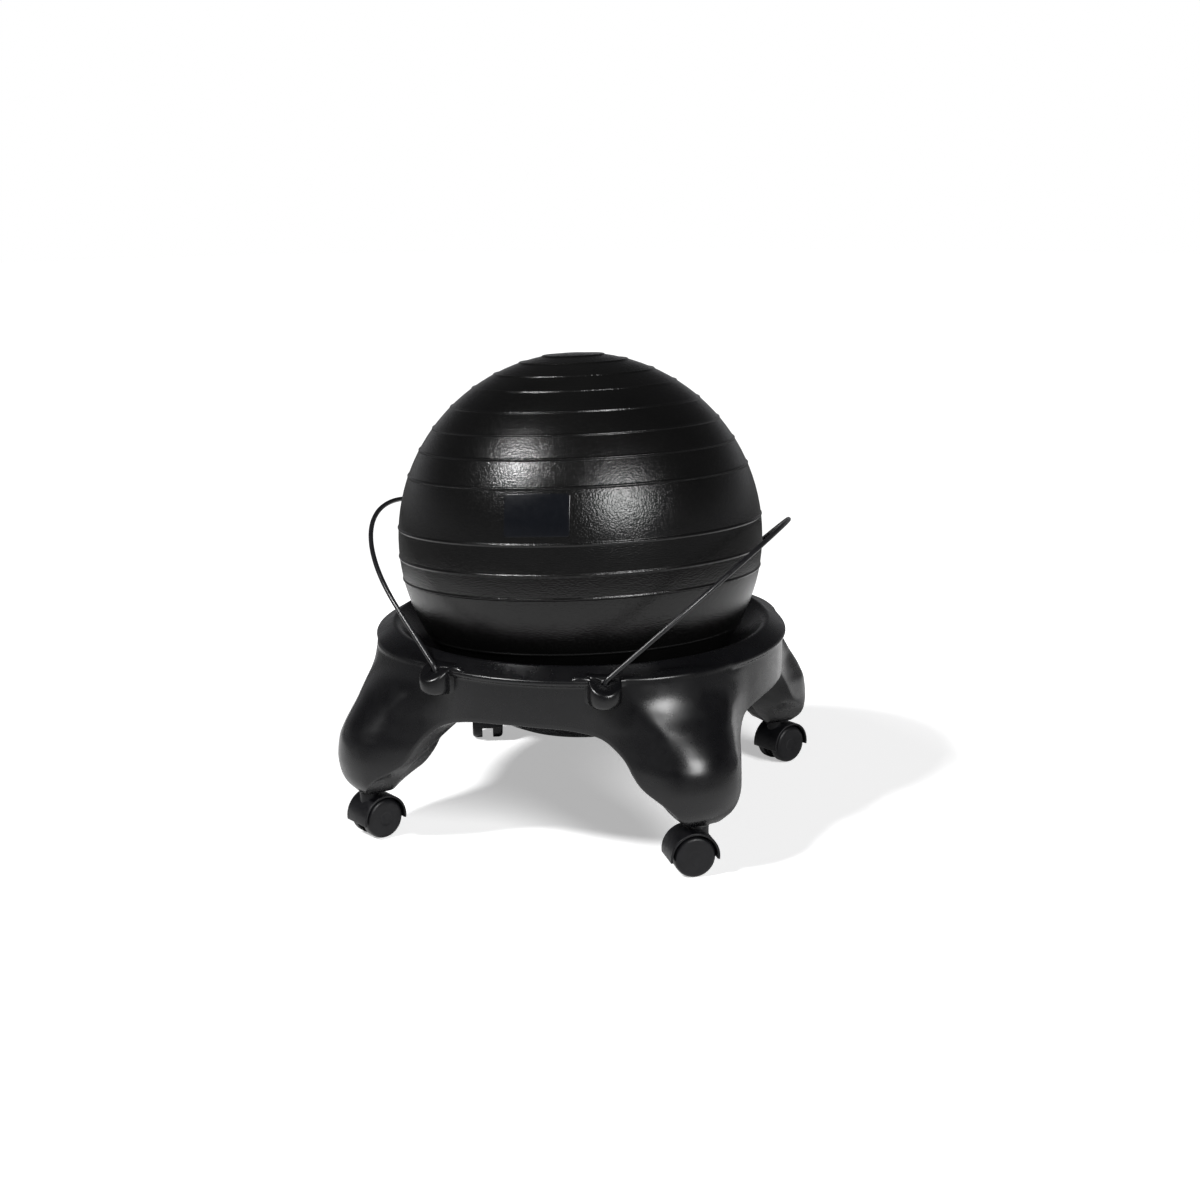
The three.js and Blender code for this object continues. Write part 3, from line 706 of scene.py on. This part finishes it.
def bar_route(side):
    bend = 6
    bend_start = boss_top - 6
    rise = crown_height - bend_start - bend
    outward = crown_x - bar_end_x
    top = math.hypot(rise, outward)
    crown = bar_end_y * crown_share
    crown_middle = top - crown
    slant = math.hypot(bar_end_y, crown_middle)
    leg_angle = math.atan2(crown_middle, bar_end_y) + math.asin(crown / slant)

    def place(along, up):
        return Vector((side * (bar_end_x + up / top * outward), along, bend_start + bend + up / top * rise))

    stub = Vector((side * bar_end_x, -bar_end_y, boss_top - stub_depth))
    stub_top = Vector((side * bar_end_x, -bar_end_y, bend_start))
    leg_start = place(-bar_end_y + bend * math.cos(leg_angle), bend * math.sin(leg_angle))
    half = [stub] + quarter_bend(stub_top, place(-bar_end_y, 0), leg_start, 8)
    start = leg_angle + math.pi / 2
    for i in range(0, 49):
        angle = start + (math.pi / 2 - start) * i / 48
        half.append(place(crown * math.cos(angle), crown_middle + crown * math.sin(angle)))
    other = [Vector((p.x, -p.y, p.z)) for p in reversed(half[:-1])]
    return half + other


def side_bar(name, side):
    route = bar_route(side)
    curve = bpy.data.curves.new(name, "CURVE")
    curve.dimensions = "3D"
    curve.bevel_depth = bar_radius * mm
    curve.bevel_resolution = 5
    curve.use_fill_caps = True
    spline = curve.splines.new("POLY")
    spline.points.add(len(route) - 1)
    for point, spot in zip(spline.points, route):
        point.co = (*(spot * mm), 1)
    spline.use_smooth = True
    curve.materials.append(paint)
    piece = bpy.data.objects.new(name, curve)
    bpy.context.collection.objects.link(piece)
    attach(piece, "base")
    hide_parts(name.replace("guard_bar", "side_bar"))


side_bar("guard_bar_left", -1)
side_bar("guard_bar_right", 1)
print("two bars, crown at", round(crown_height), "mm")

# %% [markdown]
# ## The ball
# The ball is a thick vinyl skin with raised rings that keep it from slipping. Its axis leans a
# little, so the rings slope. A sphere with displacement would need very many faces everywhere. A
# turned profile has close points only where a ring rises.

# %% Ball
ridge_shares = [
    0.894, 0.811, 0.714, 0.626, 0.527, 0.431, 0.342, 0.244,
    0.06, -0.04, -0.12, -0.331, -0.429, -0.527, -0.626, -0.722,
]
ridge_height = 1.1
ridge_half_width = 2.2
lean_heading = math.radians(131)
lean_axis = Vector((-math.sin(lean_heading), math.cos(lean_heading), 0))
tilt = Matrix.Rotation(math.radians(4.5), 3, lean_axis)


def ball_profile():
    ridges = [share * math.pi / 2 for share in ridge_shares]
    lifts = set(np.round(np.radians(np.arange(-88, 88.1, 3.0)), 6))
    lifts = {a for a in lifts if min(abs(a - r) for r in ridges) * ball_radius > 4}
    for ridge in ridges:
        for offset in (-3.4, -2.6, -2.2, -1.8, -1.4, -1, -0.5, 0, 0.5, 1, 1.4, 1.8, 2.2, 2.6, 3.4):
            lifts.add(ridge + offset / ball_radius)
    profile = []
    for lift in sorted(lifts):
        near = min(abs(lift - r) for r in ridges) * ball_radius
        rise = ridge_height * math.cos(math.pi / 2 * min(near / ridge_half_width, 1)) ** 1.5
        radius = ball_radius + rise
        profile.append((radius * math.cos(lift), radius * math.sin(lift)))
    return profile


def in_ball(points):
    return [tuple(tilt @ Vector(p) + Vector((0, 0, ball_centre))) for p in points]


points, faces = capped(turned_rings(ball_profile(), 180))
ball = add_piece("ball_skin", in_ball(points), faces, vinyl, "ball", "ball_vinyl", ["ball"])
print("ball skin has", len(ball.data.polygons), "faces")

# %% [markdown]
# Under the ball a small plug closes the hole it is blown up through. A plain cylinder would do, since
# it can't be seen from above, but it is turned with a rounded head all the same.

# %% Valve plug
head = ball_radius + seat_gap
plug_profile = rounded(
    [(0.3, -head - plug_head), (8, -head - plug_head), (8, -head), (3.7, -head), (3.7, -head + 8),
     (3, -head + 16), (0.3, -head + 16)], [1.2, 0.3, 0.2, 1, 1], 3)
points, faces = capped(turned_rings(plug_profile, 40))
add_piece("valve_plug", in_ball(points), faces, plain_nylon, "ball", "plug_plastic", ["ball_valve_plug"])
print("valve plug made")

# %% [markdown]
# ## Label
# A thin glossy panel is stuck on the wide band at the front. It is left bare. It could be a plane
# wrapped on by a modifier. Here each of its points is put straight on the sphere.

# %% Label
def ball_label():
    wide, tall, corner_round = 39.0, 25.0, 3.0
    heading, lift = math.radians(-85), math.radians(14.2)
    outward = Vector((math.cos(lift) * math.cos(heading), math.cos(lift) * math.sin(heading), math.sin(lift)))
    across = Vector((-math.sin(heading), math.cos(heading), 0))
    up = outward.cross(across)

    def edge_ring(share, radius):
        ring = []
        for k in range(4):
            centre_x = (wide - corner_round) * (1, -1, -1, 1)[k]
            centre_y = (tall - corner_round) * (1, 1, -1, -1)[k]
            for i in range(7):
                turn = math.pi / 2 * (k + i / 6)
                x = centre_x + corner_round * math.cos(turn)
                y = centre_y + corner_round * math.sin(turn)
                spot = outward * ball_radius + across * x * share + up * y * share
                ring.append(tuple(spot.normalized() * radius))
            nx = (wide - corner_round) * (-1, -1, 1, 1)[k]
            ny = (tall - corner_round) * (1, -1, -1, 1)[k]
            turn = math.pi / 2 * (k + 1)
            end = (nx + corner_round * math.cos(turn), ny + corner_round * math.sin(turn))
            start = (x, y)
            for i in range(1, 8):
                px = start[0] + (end[0] - start[0]) * i / 8
                py = start[1] + (end[1] - start[1]) * i / 8
                spot = outward * ball_radius + across * px * share + up * py * share
                ring.append(tuple(spot.normalized() * radius))
        return ring

    rings = [
        edge_ring(1, ball_radius + 0.1), edge_ring(1, ball_radius + 0.45),
        edge_ring(0.996, ball_radius + 0.6),
    ]
    rings += [edge_ring(share, ball_radius + 0.62) for share in np.linspace(0.98, 0.02, 14)]
    return capped(rings)


points, faces = ball_label()
add_piece("label_panel", in_ball(points), faces, gloss, "ball", "label_panel", ["ball_label"])
print("label made")

# %% [markdown]
# ## Casters
# Each leg stands on a twin-wheel caster: two plain discs on one axle, a web between them, a hood
# over both and a round neck that turns on the stem. The frame's wheels have twenty flats, so the
# smooth wheels take the radius at the flats and touch the floor at the same place.

# %% Caster sizes
axle_height = 24.692
wheel_radius = axle_height
trail = 10
web_width = 13.2
wheel_width = 13.5
hub_gap = 0.8
wheel_inner = web_width / 2 + hub_gap
wheel_outer = wheel_inner + wheel_width
hood_inner = 26.8
hood_outer = 29.5
caster_width = web_width + (wheel_width + hub_gap) * 2
neck_top = axle_height + hood_outer + 3.2
socket_bottom = neck_top + seat_gap
foot_reach = 36
foot_place = (rim_radius + foot_reach) * math.sqrt(0.5)
corners = {
    "front_left": (-foot_place, -foot_place, math.radians(56)),
    "front_right": (foot_place, -foot_place, math.radians(-149)),
    "back_right": (foot_place, foot_place, math.radians(56)),
    "back_left": (-foot_place, foot_place, math.radians(-69)),
}


def at_foot(points, corner):
    x0, y0, heading = corners[corner]
    c, s = math.cos(heading), math.sin(heading)
    return [(x0 + c * x - s * y, y0 + s * x + c * y, z) for x, y, z in points]


def on_axle(points, side=1):
    return [(trail + x, side * z, axle_height + y) for x, y, z in points]


print("caster is", round(caster_width, 1), "mm wide and", round(neck_top, 1), "mm high")

# %% [markdown]
# A wheel is a disc with a soft shoulder, a shallow dish in the middle of its face and a hollow back.
# It could be a cylinder with a bevel, but that has no hollow back. A turned profile gives the face,
# the tread and the hollow in one skin.

# %% Wheels
def wheel(corner, number, side):
    profile = rounded(
        [(0.3, wheel_outer - 0.6), (7, wheel_outer - 0.6), (9, wheel_outer),
         (wheel_radius - 4.6, wheel_outer), (wheel_radius - 1.5, wheel_outer - 1.3),
         (wheel_radius, wheel_outer - 4.6), (wheel_radius, wheel_inner),
         (20.4, wheel_inner), (20.4, wheel_outer - 5), (8, wheel_outer - 5), (8, wheel_inner - 0.5),
         (3.3, wheel_inner - 0.5)],
        [1, 1, 1.6, 2.2, 2.2, 0.8, 0.6, 0.6, 0.6, 0.6], 3)
    points, faces = capped(turned_rings(profile, 72))
    name = corner + "_wheel_" + str(number)
    add_piece(name + "_disc", at_foot(on_axle(points, side), corner), faces, nylon,
              corner + "_roller_" + str(number), "caster_plastic", [name])


for corner in corners:
    wheel(corner, 1, -1)
    wheel(corner, 2, 1)
print("eight wheels")

# %% [markdown]
# The hood is a thin arc with rounded edges. The hood, the web, the hub round the axle and the neck
# are one moulding. They could be joined with booleans, but here they are four skins that run into
# each other, which keeps their faces even.

# %% Hoods, webs and necks
def arc_band(inner, outer, start, end, half_width, edge, steps=64):
    rings = []
    section = rounded(
        [(inner, 0), (inner, half_width), (outer, half_width), (outer, -half_width), (inner, -half_width),
         (inner, 0)], [edge, edge, edge, edge], 3)[:-1]
    for i in range(steps + 1):
        turn = start + (end - start) * i / steps
        rings.append([(r * math.cos(turn), r * math.sin(turn), z) for r, z in section])
    return capped(rings)


def merged(*skins):
    points, faces = [], []
    for more_points, more_faces in skins:
        shift = len(points)
        points += list(more_points)
        faces += [tuple(i + shift for i in face) for face in more_faces]
    return points, faces


def housing(corner):
    dip = math.radians(8)
    hood_points, hood_faces = arc_band(hood_inner, hood_outer, -dip, math.pi + dip, caster_width / 2, 0.8)
    web = []
    half = web_width / 2
    web_edge = [(3, -half), (1, -half), (0.3, -half + 0.3), (0, -half + 1), (0, half - 1), (0.3, half - 0.3),
                (1, half), (3, half)]
    for inset, z in web_edge:
        ring = []
        reach = hood_inner + 1 - inset
        for i in range(65):
            turn = -dip + (math.pi + 2 * dip) * i / 64
            ring.append((reach * math.cos(turn), reach * math.sin(turn), z))
        web.append(ring)
    web_points, web_faces = capped(web)
    hub_profile = rounded([(0.3, -half), (8, -half), (8, half), (0.3, half)], [0.6, 0.6])
    hub_points, hub_faces = capped(turned_rings(hub_profile, 48))
    neck_bottom = neck_top - 24
    neck_profile = rounded(
        [(0.3, neck_top), (11, neck_top), (11, neck_top - 5), (11, neck_bottom), (0.3, neck_bottom)],
        [1, 1, 1], 4)
    neck_points, neck_faces = capped(turned_rings(neck_profile, 56))
    points, faces = merged(
        (on_axle(hood_points), hood_faces), (on_axle(web_points), web_faces),
        (on_axle(hub_points), hub_faces), (neck_points, neck_faces))
    add_piece(corner + "_hood", at_foot(points, corner), faces, nylon, corner + "_caster", "caster_plastic",
              [corner + "_caster_housing"])


for corner in corners:
    housing(corner)
print("four hoods")

# %% [markdown]
# ## Stems, sleeves and axles
# A plated stem holds each caster in a nylon sleeve in the foot, and an axle carries both wheels.
# Stems and axles are hidden and could be left out, but the wheels and casters turn on them. Each is
# turned in full from a short profile.

# %% Stems, sleeves and axles
def small_turnings(corner):
    top = socket_bottom + 34
    sleeve = rounded(
        [(4.3, socket_bottom), (12, socket_bottom), (12, socket_bottom + 2), (7.5, socket_bottom + 2),
         (7.5, top), (5.1, top), (4.3, top - 8), (4.3, socket_bottom)], [0.4, 0.5, 0.4, 0.8, 0.4, 0.4], 3)
    points, faces = skin_of(turned_rings(sleeve, 48))
    name = corner + "_stem_socket"
    add_piece(corner + "_sleeve", at_foot(points, corner), faces, plain_nylon, "base", "plug_plastic", [name])
    seat = neck_top - 23
    stem_top = socket_bottom + 32
    stem = rounded(
        [(0.3, seat - 4.3), (5.2, seat - 4.3), (5.2, seat - 0.3), (4, seat - 0.3), (4, stem_top - 9),
         (4.8, stem_top - 8), (4.8, stem_top - 6), (4, stem_top - 6), (4, stem_top - 3), (3.2, stem_top),
         (0.3, stem_top)], [0.5, 0.5, 0.3, 0.4, 0.3, 0.3, 0.3, 0.4, 0.5], 3)
    points, faces = capped(turned_rings(stem, 40))
    add_piece(corner + "_pin", at_foot(points, corner), faces, steel, "base", "bright_steel",
              [corner + "_stem"])
    half = wheel_outer - 3.5 - 1
    axle = rounded([(0.3, -half), (3, -half), (3, half), (0.3, half)], [0.5, 0.5], 3)
    points, faces = capped(turned_rings(axle, 32))
    add_piece(corner + "_axle_pin", at_foot(on_axle(points), corner), faces, steel, corner + "_caster",
              "bright_steel", [corner + "_axle"])


for corner in corners:
    small_turnings(corner)
print("stems, sleeves and axles made")

# %% [markdown]
# ## Floor
# The chair stands on a white floor with a soft shadow. The white ends about a metre out and the floor
# past it is dark, which is what the lower half of the ball shows. The floor takes the light as matt
# white, and for the camera a little light of its own is added, so that it turns plain white away
# from the chair and keeps the shadow under it.

# %% Floor
def studio_floor():
    bpy.ops.mesh.primitive_circle_add(vertices=96, radius=9, fill_type="TRIFAN", location=(0, 0, 0))
    floor = bpy.context.object
    floor.name = "floor"
    material = bpy.data.materials.new("white floor")
    material.use_nodes = True
    nodes, links = material.node_tree.nodes, material.node_tree.links
    surface = nodes["Principled BSDF"]
    surface.inputs["Roughness"].default_value = 0.9
    surface.inputs["Specular IOR Level"].default_value = 0.1
    path = nodes.new("ShaderNodeLightPath")
    gap = nodes.new("ShaderNodeVectorMath")
    gap.operation = "LENGTH"
    links.new(object_places(material), gap.inputs[0])
    spread = between(material, gap.outputs["Value"], 0.42, 1, 0.5, 1.2)
    edge = between(material, gap.outputs["Value"], 0, 1, 0.95, 1.2)
    two_tones(material, surface, edge, (0.86, 0.86, 0.86), (0.1, 0.1, 0.1))
    amount = nodes.new("ShaderNodeMath")
    amount.operation = "MULTIPLY"
    links.new(path.outputs["Is Camera Ray"], amount.inputs[0])
    links.new(spread, amount.inputs[1])
    surface.inputs["Emission Color"].default_value = (1, 1, 1, 1)
    links.new(amount.outputs[0], surface.inputs["Emission Strength"])
    floor.data.materials.append(material)


studio_floor()
print("floor laid")

# %% [markdown]
# ## Last step
# The picture's colours are shown as they are.

# %% Finish
bpy.context.scene.view_settings.view_transform = "Standard"
